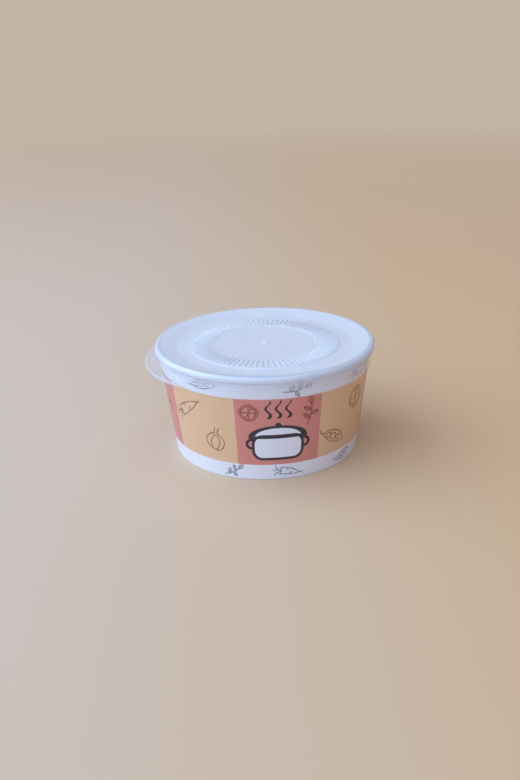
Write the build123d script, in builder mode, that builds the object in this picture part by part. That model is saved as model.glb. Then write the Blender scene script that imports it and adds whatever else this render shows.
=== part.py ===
"""A plastic soup bowl with a push-fit lid.

The bowl is one thin white moulding: a tapered wall on a foot ring, a stepped base, and a rounded bead
round its rim. The lid is one clear moulding: a sunk panel with a ring of fine radial ribs and a sloping
shoulder, a crest that straddles the bowl's rim, a skirt that hugs the wall below the bead, and a crescent
tab for the thumb.

Sizes are in millimetres. The origin is the centre of the circle on which the bowl stands, and +Z is up.
The lid's tab points along -X.
"""

import math
import os

from build123d import *

# Bowl: the outside of its wall, and the thickness of the moulding
foot_radius = 46.5
mouth_radius = 53.3
bowl_height = 54.3
bowl_wall = 0.7
base_thickness = 0.8
base_corner_radius = 4.0

# Bowl: foot ring, stepped base and the moulding's gate mark under it
foot_ring_width = 1.6
foot_ring_rounding = 0.5
foot_depth = 1.6
base_panel_radius = 31.0
base_panel_lift = 0.5
base_gate_radius = 1.6
base_gate_height = 0.4

# Bowl: bead round the rim
bead_overhang = 0.6
bead_height = 1.1
bead_rounding_share = 0.6
bead_underside_rounding = 0.2
rim_inner_rounding_share = 0.12

# Lid: thickness, and the gaps that it keeps from the bowl
lid_wall = 0.6
fit_gap = 0.3
rim_side_gap = 0.5
rim_top_gap = 0.3

# Lid: panel levels, down from the crest of the rim, and their circles
panel_depth = 2.3
ring_lift = 0.5
disc_drop = 0.4
disc_radius = 25.5
ring_radius = 38.0
shoulder_place_share = 0.42
shoulder_foot_rounding = 2.0
level_change = 0.7
level_rounding = 0.35
lid_gate_radius = 0.9
lid_gate_height = 0.3

# Lid: fine radial ribs on the raised ring, and the plain margins that they leave on it
rib_count = 80
rib_inner_margin = 1.4
rib_outer_margin = 0.9
rib_width = 0.8
rib_height = 0.3

# Lid: crest of the rim, and the step below it that snaps under the bead
crest_inner_rounding_share = 0.4
crest_outer_rounding_share = 0.7
step_outer_rounding = 0.3
step_inner_rounding = 0.25

# Lid: skirt, its stiffening ridge and the lip at its lower edge, with depths down from the step
skirt_depth = 8.6
ridge_depth = 4.1
ridge_rise = 0.25
ridge_width = 1.0
lip_height = 1.2
lip_overhang = 0.4
lip_rounding = 0.25

# Lid: crescent thumb tab on the lip, with a thicker edge and two grip studs
tab_projection = 8.7
tab_tip_radius_share = 0.94
tab_thickness = 0.7
tab_root_rounding = 14.0
tab_edge_width = 1.0
tab_edge_rise = 0.35
grip_stud_radius = 0.9
grip_stud_height = 0.4
grip_stud_place_share = 0.37
grip_stud_turn_share = 0.32

# How far a shape runs into the lid's wall, or into the bowl's base, to be one with it
joining_overlap_share = 0.5

wall_lean = (mouth_radius - foot_radius) / bowl_height


def wall_outside(height):
    """Radius of the outside of the bowl's wall at a height above the table."""
    return foot_radius + wall_lean * height


def wall_inside(height):
    """Radius of the inside of the bowl's wall at a height above the table."""
    return wall_outside(height) - bowl_wall


def fill_section(sketch, corners):
    """Fills a section, each corner of which has a radius, a height and a rounding.

    Args:
        sketch: the sketch that is being made, with the radius along its first axis and the height along
            its second.
        corners: the section's corners in order.
    """
    Polygon(*[(radius, height) for radius, height, rounding in corners], align=None)
    for radius, height, rounding in corners:
        if rounding > 0:
            fillet(sketch.vertices().sort_by_distance((radius, height))[0], rounding)


os.makedirs("parts", exist_ok=True)

# Bowl: heights and radii that follow from its sizes
floor_height = foot_depth + base_thickness
bead_radius = mouth_radius + bead_overhang
rim_width = bead_radius - wall_inside(bowl_height)
bead_rounding = bead_rounding_share * rim_width
rim_inner_rounding = rim_inner_rounding_share * rim_width
bead_bottom = bowl_height - bead_height
foot_ring_inside = foot_radius - foot_ring_width
base_step_radius = base_panel_radius + base_panel_lift
base_underside = foot_depth + base_panel_lift

bowl_corners = [
    (0, base_underside, 0),
    (base_panel_radius, base_underside, 0),
    (base_step_radius, foot_depth, 0),
    (foot_ring_inside, foot_depth, foot_ring_rounding),
    (foot_ring_inside, 0, 0),
    (foot_radius, 0, foot_ring_rounding),
    (wall_outside(bead_bottom), bead_bottom, bead_underside_rounding),
    (bead_radius, bead_bottom, bead_underside_rounding),
    (bead_radius, bowl_height, bead_rounding),
    (wall_inside(bowl_height), bowl_height, rim_inner_rounding),
    (wall_inside(floor_height), floor_height, base_corner_radius),
    (base_step_radius, floor_height, 0),
    (base_panel_radius, floor_height + base_panel_lift, 0),
    (0, floor_height + base_panel_lift, 0),
]

with BuildPart() as bowl:
    with BuildSketch(Plane.XZ) as bowl_section:
        fill_section(bowl_section, bowl_corners)
    revolve(axis=Axis.Z)

    # Gate mark under the middle of the base
    with BuildSketch(Plane.XY.offset(base_underside - base_gate_height)):
        Circle(base_gate_radius)
    extrude(amount=base_gate_height + joining_overlap_share * base_thickness)

bowl.part.label = "bowl"

# Lid: heights and radii that follow from the bowl
crest_height = bowl_height + rim_top_gap + lid_wall
lid_radius = bead_radius + rim_side_gap + lid_wall
panel_height = crest_height - panel_depth
ring_height = panel_height + ring_lift
disc_height = ring_height - disc_drop
crest_inside = wall_inside(bowl_height) - fit_gap
crest_width = lid_radius - crest_inside
crest_inner_rounding = crest_inner_rounding_share * crest_width
crest_outer_rounding = crest_outer_rounding_share * crest_width
shoulder_radius = ring_radius + shoulder_place_share * (crest_inside - ring_radius)
shoulder_slope = math.atan2(panel_depth, crest_inside - shoulder_radius)
shoulder_shift = lid_wall * math.tan(shoulder_slope / 2)
shelf_height = bead_bottom - fit_gap
step_height = shelf_height - lid_wall
skirt_bottom_height = step_height - skirt_depth
skirt_gap = fit_gap + lid_wall
joining_overlap = joining_overlap_share * lid_wall
skirt_top_radius = wall_outside(step_height) + skirt_gap
skirt_bottom_radius = wall_outside(skirt_bottom_height) + skirt_gap

# Lid: the upper and outer side of its wall, from the middle of the panel to the skirt's lower edge
outer_corners = [
    (0, disc_height, 0),
    (disc_radius, disc_height, level_rounding),
    (disc_radius + level_change, ring_height, level_rounding),
    (ring_radius - level_change, ring_height, level_rounding),
    (ring_radius, panel_height, level_rounding),
    (shoulder_radius, panel_height, shoulder_foot_rounding),
    (crest_inside, crest_height, crest_inner_rounding),
    (lid_radius, crest_height, crest_outer_rounding),
    (lid_radius, step_height, step_outer_rounding),
    (skirt_top_radius, step_height, step_inner_rounding),
    (skirt_bottom_radius, skirt_bottom_height, 0),
]

# Lid: the under and inner side, back from the skirt's lower edge
inner_corners = [
    (skirt_bottom_radius - lid_wall, skirt_bottom_height, 0),
    (wall_outside(shelf_height) + fit_gap, shelf_height, step_inner_rounding),
    (lid_radius - lid_wall, shelf_height, step_inner_rounding),
    (lid_radius - lid_wall, crest_height - lid_wall, crest_outer_rounding - lid_wall),
    (crest_inside + shoulder_shift, crest_height - lid_wall, crest_inner_rounding - lid_wall),
    (shoulder_radius + shoulder_shift, panel_height - lid_wall, shoulder_foot_rounding + lid_wall),
    (ring_radius, panel_height - lid_wall, level_rounding),
    (ring_radius - level_change, ring_height - lid_wall, level_rounding),
    (disc_radius + level_change, ring_height - lid_wall, level_rounding),
    (disc_radius, disc_height - lid_wall, level_rounding),
    (0, disc_height - lid_wall, 0),
]

lip_radius = skirt_bottom_radius + lip_overhang
lip_top = skirt_bottom_height + lip_height
lip_root = skirt_bottom_radius - joining_overlap
lip_corners = [
    (lip_root, skirt_bottom_height, 0),
    (lip_radius, skirt_bottom_height, lip_rounding),
    (lip_radius, lip_top, lip_rounding),
    (lip_root, lip_top, 0),
]

ridge_height = step_height - ridge_depth
ridge_radius = wall_outside(ridge_height) + skirt_gap
ridge_root = ridge_radius - joining_overlap
ridge_bottom = ridge_height - ridge_width / 2
ridge_top = ridge_height + ridge_width / 2
ridge_corners = [
    (ridge_root, ridge_bottom, 0),
    (ridge_radius, ridge_bottom, 0),
    (ridge_radius + ridge_rise, ridge_height, 0),
    (ridge_radius, ridge_top, 0),
    (ridge_root, ridge_top, 0),
]

rib_start = disc_radius + level_change + rib_inner_margin
rib_end = ring_radius - level_change - rib_outer_margin

# Lid: where the tab's tip arc, its two sweeps and the lip touch one another, on either side of its middle
tab_tip_radius = tab_tip_radius_share * lip_radius
tab_reach = lip_radius + tab_projection
tip_offset = tab_reach - tab_tip_radius
tip_centre = Vector(-tip_offset, 0)
root_reach = lip_radius + tab_root_rounding
tip_span = tab_tip_radius + tab_root_rounding
root_along = (root_reach**2 + tip_offset**2 - tip_span**2) / (2 * tip_offset)
root_across = math.sqrt(root_reach**2 - root_along**2)
tab_seat_radius = lip_radius - joining_overlap
root_centres = [Vector(-root_along, side * root_across) for side in (-1, 1)]
lip_ends = [centre.normalized() * lip_radius for centre in root_centres]
seat_ends = [centre.normalized() * tab_seat_radius for centre in root_centres]
tip_ends = [tip_centre + (centre - tip_centre).normalized() * tab_tip_radius for centre in root_centres]

# Lid: the circle that the grip studs stand on, and their turn in degrees from the tab's middle, along -X
grip_stud_circle = lip_radius + grip_stud_place_share * tab_projection
grip_stud_turn = grip_stud_turn_share * math.degrees(math.atan2(root_across, root_along))

with BuildPart() as lid:
    # One wall of even thickness from the gate to the skirt's lower edge
    with BuildSketch(Plane.XZ) as lid_section:
        fill_section(lid_section, outer_corners + inner_corners)
    revolve(axis=Axis.Z)

    # Lip round the skirt's lower edge
    with BuildSketch(Plane.XZ) as lip_section:
        fill_section(lip_section, lip_corners)
    revolve(axis=Axis.Z)

    # Stiffening ridge half way up the skirt
    with BuildSketch(Plane.XZ) as ridge_section:
        fill_section(ridge_section, ridge_corners)
    revolve(axis=Axis.Z)

    # Fine radial ribs on the raised ring
    with BuildSketch(Plane.XY.offset(ring_height - joining_overlap)):
        with PolarLocations((rib_start + rib_end) / 2, rib_count):
            SlotOverall(rib_end - rib_start, rib_width)
    extrude(amount=rib_height + joining_overlap)

    # Gate mark at the middle of the panel
    with BuildSketch(Plane.XY.offset(disc_height - joining_overlap)):
        Circle(lid_gate_radius)
    extrude(amount=lid_gate_height + joining_overlap)

    # Crescent tab: a tip arc and two sweeps that run into the lip, closed inside the lip
    with BuildSketch(Plane.XY.offset(skirt_bottom_height)) as tab:
        with BuildLine():
            ThreePointArc(tip_ends[0], (-tab_reach, 0), tip_ends[1])
            for centre, tip_end, lip_end, seat_end in zip(root_centres, tip_ends, lip_ends, seat_ends):
                towards_tab = ((tip_end + lip_end) / 2 - centre).normalized()
                ThreePointArc(tip_end, centre + towards_tab * tab_root_rounding, lip_end)
                Line(lip_end, seat_end)
            ThreePointArc(seat_ends[0], (-tab_seat_radius, 0), seat_ends[1])
        make_face()
    extrude(amount=tab_thickness)

    # Thicker edge along the tab
    with BuildSketch(Plane.XY.offset(skirt_bottom_height)):
        add(tab.sketch_local)
        with Locations(tip_centre):
            Circle(tab_tip_radius - tab_edge_width, mode=Mode.SUBTRACT)
    extrude(amount=tab_thickness + tab_edge_rise)

    # Grip studs on either side of the tab's middle
    with BuildSketch(Plane.XY.offset(skirt_bottom_height)):
        with PolarLocations(grip_stud_circle, 2, 180 - grip_stud_turn, 2 * grip_stud_turn, endpoint=True):
            Circle(grip_stud_radius)
    extrude(amount=tab_thickness + grip_stud_height)

lid.part.label = "lid"

for piece in (bowl, lid):
    export_step(piece.part, f"parts/{piece.part.label}.step")
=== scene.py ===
"""Looks of a plastic soup bowl with a push-fit lid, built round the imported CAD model.

The bowl is a white moulding with a printed wall, and the lid a natural, see-through one.
Sizes in the classes are in millimetres and angles in degrees.
Meshes are made in metres, in the CAD model's frame.
"""

import logging
import math
from dataclasses import dataclass
from enum import Enum
from typing import Any, Callable, Sequence, Union

import bmesh
import bpy
from mathutils import Matrix, Vector


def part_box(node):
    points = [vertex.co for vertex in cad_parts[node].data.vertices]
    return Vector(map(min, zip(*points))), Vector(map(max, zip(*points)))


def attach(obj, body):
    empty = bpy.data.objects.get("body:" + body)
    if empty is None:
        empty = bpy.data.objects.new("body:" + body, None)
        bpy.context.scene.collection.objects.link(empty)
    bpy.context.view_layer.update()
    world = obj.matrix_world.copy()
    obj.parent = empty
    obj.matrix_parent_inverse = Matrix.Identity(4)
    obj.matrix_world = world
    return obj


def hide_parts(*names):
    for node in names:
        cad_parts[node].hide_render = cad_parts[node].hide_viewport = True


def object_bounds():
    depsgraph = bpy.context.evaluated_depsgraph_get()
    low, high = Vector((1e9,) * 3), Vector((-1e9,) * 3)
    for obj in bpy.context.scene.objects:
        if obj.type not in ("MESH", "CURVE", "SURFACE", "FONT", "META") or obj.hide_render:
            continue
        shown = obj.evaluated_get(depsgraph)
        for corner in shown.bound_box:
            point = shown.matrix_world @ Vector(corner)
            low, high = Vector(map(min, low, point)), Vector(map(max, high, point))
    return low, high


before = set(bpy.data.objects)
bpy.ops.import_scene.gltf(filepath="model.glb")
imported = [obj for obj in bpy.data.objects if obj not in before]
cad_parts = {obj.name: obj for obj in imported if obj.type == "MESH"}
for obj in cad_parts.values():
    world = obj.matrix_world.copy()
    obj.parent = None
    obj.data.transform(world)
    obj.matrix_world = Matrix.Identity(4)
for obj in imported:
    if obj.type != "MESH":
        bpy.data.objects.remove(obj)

LOG = logging.getLogger("soup_bowl")
CAD_LOW, CAD_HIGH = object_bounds()
MM = 0.001
ROUND_STEPS = 240
CORNER_STEPS = 5
EDGE_STEPS = 2
MERGE_DISTANCE = 1e-7
SMOOTH_ANGLE = 32.0
NOISE_MIDDLE = 0.5

Colour = tuple[float, float, float]
Point = tuple[float, float]


class Body(Enum):
    """The moving bodies of the CAD model, named as its nodes are."""

    BOWL = "bowl"
    LID = "lid"


class Slot(Enum):
    """The record's material slots."""

    BOWL = "bowl_plastic"
    LID = "lid_plastic"


class Value:
    """A number that changes over a surface, held as the socket that gives it.

    Arithmetic on it adds Math nodes to the material's graph.
    """

    def __init__(self, graph: "Graph", socket: bpy.types.NodeSocket) -> None:
        """Keeps the graph and the socket."""
        self.graph = graph
        self.socket = socket

    def __add__(self, other: "Number") -> "Value":
        """The sum."""
        return self.graph.math("ADD", self, other)

    def __sub__(self, other: "Number") -> "Value":
        """The difference."""
        return self.graph.math("SUBTRACT", self, other)

    def __rsub__(self, other: "Number") -> "Value":
        """The difference the other way round."""
        return self.graph.math("SUBTRACT", other, self)

    def __mul__(self, other: "Number") -> "Value":
        """The product."""
        return self.graph.math("MULTIPLY", self, other)

    def __truediv__(self, other: "Number") -> "Value":
        """The quotient."""
        return self.graph.math("DIVIDE", self, other)

    def __pow__(self, other: "Number") -> "Value":
        """The power."""
        return self.graph.math("POWER", self, other)

    def __mod__(self, other: "Number") -> "Value":
        """What is left over, from zero up to the other number."""
        return self.graph.math("FLOORED_MODULO", self, other)

    def __abs__(self) -> "Value":
        """The size without its sign."""
        return self.graph.math("ABSOLUTE", self)

    def __and__(self, other: "Number") -> "Value":
        """The smaller of the two: for masks, where both hold."""
        return self.graph.math("MINIMUM", self, other)

    def __or__(self, other: "Number") -> "Value":
        """The larger of the two: for masks, where either holds."""
        return self.graph.math("MAXIMUM", self, other)

    __radd__ = __add__
    __rmul__ = __mul__

    def sine(self) -> "Value":
        """The sine of an angle in radians."""
        return self.graph.math("SINE", self)

    def held(self) -> "Value":
        """The value kept between zero and one."""
        return self.graph.math("ADD", self, 0.0, clamp=True)

    def rise(self, start: float, end: float) -> "Value":
        """A mask that rises from zero at start to one at end, or falls where end is the lower.

        Args:
            start: where the mask is zero.
            end: where the mask is one.

        Returns:
            The mask.
        """
        slope = 1.0 / (end - start)
        return self.graph.math("MULTIPLY_ADD", self, slope, -start * slope, clamp=True)

    def swing(self, low: "Number", high: "Number") -> "Value":
        """Swings between two numbers, with this value as the mask.

        Args:
            low: the number where the mask is zero.
            high: the number where the mask is one.

        Returns:
            The number in between.
        """
        return low + (high - low) * self


Number = Union[float, Value]


class Graph:
    """The node graph of one material, or of the world."""

    MIX_INPUTS = (0, 6, 7)
    MIX_OUTPUT = 2

    def __init__(self, owner: Union[bpy.types.Material, bpy.types.World]) -> None:
        """Starts an empty graph.

        Args:
            owner: the material or the world.
        """
        self.owner = owner
        owner.use_nodes = True
        self.tree = owner.node_tree
        self.tree.nodes.clear()

    @staticmethod
    def of_material(name: str) -> "Graph":
        """Starts the graph of a new material."""
        return Graph(bpy.data.materials.new(name))

    def node(self, kind: str, settings: dict[str, Any], sockets: dict[Any, Any]) -> bpy.types.Node:
        """Adds a node.

        Args:
            kind: the node's type.
            settings: its own settings, which are set first.
            sockets: what its inputs take, by name or number: a value, a socket or a plain number or colour.

        Returns:
            The node.
        """
        made = self.tree.nodes.new(kind)
        for name, setting in settings.items():
            setattr(made, name, setting)
        for name, given in sockets.items():
            source = given.socket if isinstance(given, Value) else given
            if isinstance(source, bpy.types.NodeSocket):
                self.tree.links.new(source, made.inputs[name])
            else:
                made.inputs[name].default_value = source
        return made

    def math(self, operation: str, *numbers: Number, clamp: bool = False) -> Value:
        """Adds a Math node.

        Args:
            operation: the node's operation.
            numbers: its numbers, in order.
            clamp: whether the result is kept between zero and one.

        Returns:
            The result.
        """
        settings = {"operation": operation, "use_clamp": clamp}
        return Value(self, self.node("ShaderNodeMath", settings, dict(enumerate(numbers))).outputs[0])

    def vector(self, operation: str, *vectors: Any, scale: Number = 1.0) -> bpy.types.NodeSocket:
        """Adds a Vector Math node that gives a vector.

        Args:
            operation: the node's operation.
            vectors: its vectors, in order.
            scale: the factor of a SCALE operation.

        Returns:
            The vector's socket.
        """
        sockets: dict[Any, Any] = dict(enumerate(vectors))
        if operation == "SCALE":
            sockets["Scale"] = scale
        return self.node("ShaderNodeVectorMath", {"operation": operation}, sockets).outputs["Vector"]

    def measure(self, operation: str, *vectors: Any) -> Value:
        """Adds a Vector Math node that gives a number, such as a length.

        Args:
            operation: the node's operation.
            vectors: its vectors, in order.

        Returns:
            The number.
        """
        made = self.node("ShaderNodeVectorMath", {"operation": operation}, dict(enumerate(vectors)))
        return Value(self, made.outputs["Value"])

    def flat(self, across: Number, up: Number) -> bpy.types.NodeSocket:
        """Joins two numbers into a flat vector."""
        return self.node("ShaderNodeCombineXYZ", {}, {0: across, 1: up}).outputs[0]

    def reach(self, x: Value, y: Value) -> Value:
        """The distance from the axis."""
        return self.math("SQRT", x * x + y * y)

    def mix(self, share: Number, first: Any, second: Any) -> bpy.types.NodeSocket:
        """Mixes two colours.

        Args:
            share: the share of the second colour.
            first: a colour or its socket.
            second: a colour or its socket.

        Returns:
            The mixed colour's socket.
        """
        colours = [(*c, 1.0) if isinstance(c, tuple) else c for c in (first, second)]
        sockets = dict(zip(self.MIX_INPUTS, (share, *colours)))
        return self.node("ShaderNodeMix", {"data_type": "RGBA"}, sockets).outputs[self.MIX_OUTPUT]

    def noise(self, size: float, detail: float = 2.0) -> bpy.types.Node:
        """Adds soft noise on the object's coordinates.

        Args:
            size: the size of its patches in millimetres.
            detail: how many finer layers it has.

        Returns:
            The node.
        """
        sockets = {"Vector": self.object_place(), "Scale": 1.0 / (size * MM), "Detail": detail}
        return self.node("ShaderNodeTexNoise", {}, sockets)

    def clouds(self, size: float, detail: float = 2.0) -> Value:
        """Soft noise as one number, with the same arguments as noise."""
        return Value(self, self.noise(size, detail).outputs["Fac"])

    def bump(self, relief: Value, strength: float, depth: float) -> bpy.types.NodeSocket:
        """Adds fine relief.

        Args:
            relief: the relief, from zero to one.
            strength: how much of it shows.
            depth: its full depth in millimetres.

        Returns:
            The normal's socket.
        """
        sockets = {"Strength": strength, "Distance": depth * MM, "Height": relief}
        return self.node("ShaderNodeBump", {}, sockets).outputs["Normal"]

    def object_place(self) -> bpy.types.NodeSocket:
        """The place on the object, in metres."""
        return self.node("ShaderNodeTexCoord", {}, {}).outputs["Object"]

    def millimetres(self) -> tuple[Value, Value, Value]:
        """The place on the object as three numbers, in millimetres."""
        scaled = self.vector("SCALE", self.object_place(), scale=1.0 / MM)
        parts = self.node("ShaderNodeSeparateXYZ", {}, {0: scaled})
        return tuple(Value(self, part) for part in parts.outputs)

    def seen(self) -> Value:
        """One where the camera sees the backdrop directly, in a reflection or through the lid."""
        rays = self.node("ShaderNodeLightPath", {}, {}).outputs
        kinds = ("Is Camera Ray", "Is Glossy Ray", "Is Transmission Ray")
        direct, mirrored, through = (Value(self, rays[kind]) for kind in kinds)
        return direct | mirrored | through

    def shader(self, sockets: dict[str, Any]) -> bpy.types.NodeSocket:
        """Adds a Principled shader with what its inputs take."""
        return self.node("ShaderNodeBsdfPrincipled", {}, sockets).outputs["BSDF"]

    def finish(self, surface: bpy.types.NodeSocket) -> bpy.types.Material:
        """Closes the graph.

        Args:
            surface: the shader of the whole surface.

        Returns:
            The material.
        """
        self.node("ShaderNodeOutputMaterial", {}, {"Surface": surface})
        return self.owner


@dataclass(frozen=True)
class Line:
    """A straight pen stroke between two points of the print."""

    start: Point
    end: Point

    def moved(self, place: Callable[[Point], Point], scale: float) -> "Line":
        """The stroke at its place on the print."""
        return Line(place(self.start), place(self.end))

    def distance(self, graph: Graph, spot: bpy.types.NodeSocket) -> Value:
        """How far a spot of the print lies from the stroke.

        Args:
            graph: the material's graph.
            spot: the spot's place on the print.

        Returns:
            The distance in millimetres.
        """
        along = Vector(self.end) - Vector(self.start)
        offset = graph.vector("SUBTRACT", spot, (*self.start, 0.0))
        reach = graph.measure("DOT_PRODUCT", offset, (*along, 0.0)) * (1.0 / along.length_squared)
        foot = graph.vector("SCALE", (*along, 0.0), scale=(reach | 0.0) & 1.0)
        return graph.measure("DISTANCE", offset, foot)


@dataclass(frozen=True)
class Bow:
    """A pen stroke bowed out to the left of the way from its start to its end, by less than a half circle."""

    start: Point
    end: Point
    rise: float

    def moved(self, place: Callable[[Point], Point], scale: float) -> "Bow":
        """The stroke at its place on the print."""
        return Bow(place(self.start), place(self.end), self.rise * scale)

    def distance(self, graph: Graph, spot: bpy.types.NodeSocket) -> Value:
        """How far a spot of the print lies from the stroke.

        Args:
            graph: the material's graph.
            spot: the spot's place on the print.

        Returns:
            The distance in millimetres.
        """
        chord = Vector(self.end) - Vector(self.start)
        outward = Vector((-chord.y, chord.x)).normalized() * math.copysign(1.0, self.rise)
        height = abs(self.rise)
        radius = (chord.length_squared / 4 + height**2) / (2 * height)
        centre = (Vector(self.start) + Vector(self.end)) / 2 - outward * (radius - height)
        offset = graph.vector("SUBTRACT", spot, (*centre, 0.0))
        off_line = abs(graph.measure("LENGTH", offset) - radius)
        past_ends = (radius - height) - graph.measure("DOT_PRODUCT", offset, (*outward, 0.0))
        return off_line | past_ends


@dataclass(frozen=True)
class Ring:
    """A round pen stroke."""

    centre: Point
    radius: float

    def moved(self, place: Callable[[Point], Point], scale: float) -> "Ring":
        """The stroke at its place on the print."""
        return Ring(place(self.centre), self.radius * scale)

    def distance(self, graph: Graph, spot: bpy.types.NodeSocket) -> Value:
        """How far a spot of the print lies from the stroke.

        Args:
            graph: the material's graph.
            spot: the spot's place on the print.

        Returns:
            The distance in millimetres.
        """
        return abs(graph.measure("DISTANCE", spot, (*self.centre, 0.0)) - self.radius)


Stroke = Union[Line, Bow, Ring]


def leaf(base: Point, tip: Point, fullness: float) -> list[Stroke]:
    """A pointed leaf with a midrib.

    Args:
        base: where the leaf starts.
        tip: where it ends.
        fullness: how far each edge bows out.

    Returns:
        The leaf's strokes.
    """
    return [Bow(base, tip, fullness), Bow(base, tip, -fullness), Line(base, tip)]


class Motif(Enum):
    """Line drawings of soup vegetables, about 16 mm long, with their middle at the origin."""

    CARROT = (
        Bow((-5.0, 2.6), (9.0, -0.6), 0.9),
        Bow((-5.0, -2.6), (9.0, -0.6), -0.7),
        Bow((-5.0, 2.6), (-5.0, -2.6), -1.3),
        Line((-2.0, 2.4), (-0.6, 1.0)),
        Line((1.2, -1.8), (2.4, -0.6)),
        Bow((-5.6, 0.4), (-9.6, 3.2), 0.8),
        Bow((-5.8, 0.0), (-10.4, -0.2), -0.8),
        Bow((-5.6, -0.6), (-9.2, -3.4), -0.7),
    )
    POD = (
        Bow((-8.0, 0.0), (8.0, 0.0), 3.4),
        Bow((-8.0, 0.0), (8.0, 0.0), -2.6),
        Ring((-3.9, 0.3), 1.3),
        Ring((-0.6, 0.4), 1.6),
        Ring((2.8, 0.3), 1.3),
        Bow((-8.0, 0.0), (-10.4, 1.6), 0.6),
    )
    SPRIG = (
        Bow((-8.0, -2.4), (5.0, 1.0), -1.2),
        *leaf((-4.6, -2.4), (-3.0, 2.6), 1.3),
        *leaf((-1.2, -1.7), (1.4, -5.6), 1.2),
        *leaf((1.0, -0.7), (1.6, 4.6), 1.3),
        *leaf((5.0, 1.0), (9.2, 3.4), 1.4),
    )
    SLICE = (
        Ring((0.0, 0.0), 5.6),
        Ring((0.0, 0.0), 4.5),
        Line((-4.2, 1.2), (4.2, -1.2)),
        Line((-1.1, -4.2), (1.1, 4.2)),
        Line((-3.2, -3.0), (3.2, 3.0)),
    )
    GARLIC = (
        Bow((-0.9, 4.2), (0.0, -4.6), -4.6),
        Bow((0.9, 4.2), (0.0, -4.6), 4.6),
        Bow((-0.4, 3.4), (-0.6, -4.4), -1.9),
        Bow((0.4, 3.4), (0.6, -4.4), 1.9),
        Line((-0.9, 4.2), (-1.1, 7.4)),
        Line((0.9, 4.2), (0.8, 7.6)),
    )


@dataclass(frozen=True)
class Stamp:
    """One motif printed on the wall."""

    motif: Motif
    along: float
    height: float
    turn: float = 0.0
    scale: float = 1.0

    def strokes(self, unit: float) -> list[Stroke]:
        """The motif's strokes where it is printed.

        Args:
            unit: the length along the print of one degree round the bowl.

        Returns:
            The strokes.
        """
        middle = Vector((self.along * unit, self.height))
        spin = Matrix.Rotation(math.radians(self.turn), 2)

        def place(point: Point) -> Point:
            """Where a point of the drawing lies on the print."""
            return tuple(middle + spin @ Vector(point) * self.scale)

        return [stroke.moved(place, self.scale) for stroke in self.motif.value]


@dataclass(frozen=True)
class PotIcon:
    """A bold drawing of a lidded pot with steam, printed in dark ink with white inside."""

    along: float = 66.0
    foot: float = 11.6
    half_width: float = 12.0
    body_height: float = 12.5
    corner: float = 4.5
    lid_rise: float = 5.6
    lid_overhang: float = 0.6
    outline: float = 1.4
    knob_radius: float = 1.5
    handle_radius: float = 2.3
    handle_drop: float = 3.6
    steam_spread: float = 4.6
    steam_length: float = 9.4
    steam_sway: float = 1.1
    steam_wave: float = 7.0
    steam_width: float = 1.8
    steam_count: int = 3
    steam_taper_share: float = 1 / 3
    edge: float = 0.1

    def masks(self, graph: Graph, across: Value, up: Value) -> tuple[Value, Value]:
        """Where the icon's ink and its white lie.

        Args:
            graph: the material's graph.
            across: how far a spot lies from the icon's middle line, in millimetres.
            up: the spot's height above the foot of the print, in millimetres.

        Returns:
            The masks of the dark ink and of the white.
        """
        half_line = self.outline / 2
        rise = up - (self.foot + self.body_height / 2)
        inner = (self.half_width - self.corner, self.body_height / 2 - self.corner, 0.0)
        past = graph.vector("SUBTRACT", graph.flat(abs(across), abs(rise)), inner)
        past_corner = graph.vector("MAXIMUM", past, (0.0, 0.0, 0.0))
        body = graph.measure("LENGTH", past_corner) - self.corner

        brim = self.foot + self.body_height - half_line
        above = up - brim
        dome_width = self.half_width + self.lid_overhang
        dome_share = graph.measure("LENGTH", graph.flat(across / dome_width, above / self.lid_rise))
        dome = (dome_share - 1.0) * self.lid_rise | 0.0 - above

        knob_spot = graph.flat(across, above - self.lid_rise - half_line)
        knob = graph.measure("LENGTH", knob_spot) - self.knob_radius
        handle_spot = graph.flat(abs(across) - (self.half_width + half_line), above + self.handle_drop)
        handle = abs(graph.measure("LENGTH", handle_spot) - self.handle_radius) - half_line

        steam_start = self.lid_rise + 2 * self.knob_radius + self.outline
        steam_rise = above - steam_start
        sway = (steam_rise * (math.tau / self.steam_wave)).sine() * self.steam_sway
        lane = (across - sway + self.steam_spread / 2) % self.steam_spread - self.steam_spread / 2
        ends = abs(steam_rise - self.steam_length / 2) - self.steam_length / 2
        lanes = abs(across - sway) - self.steam_count / 2 * self.steam_spread
        taper = steam_rise * (self.steam_taper_share * self.steam_width / self.steam_length)
        steam = (abs(lane) - self.steam_width / 2 + taper) | ends | lanes

        inside = body & dome
        shell = abs(body) & abs(dome)
        ink = (shell - half_line) & knob & steam & (handle | (0.0 - body))
        return ink.rise(self.edge, -self.edge), inside.rise(self.edge, -self.edge)


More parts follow.
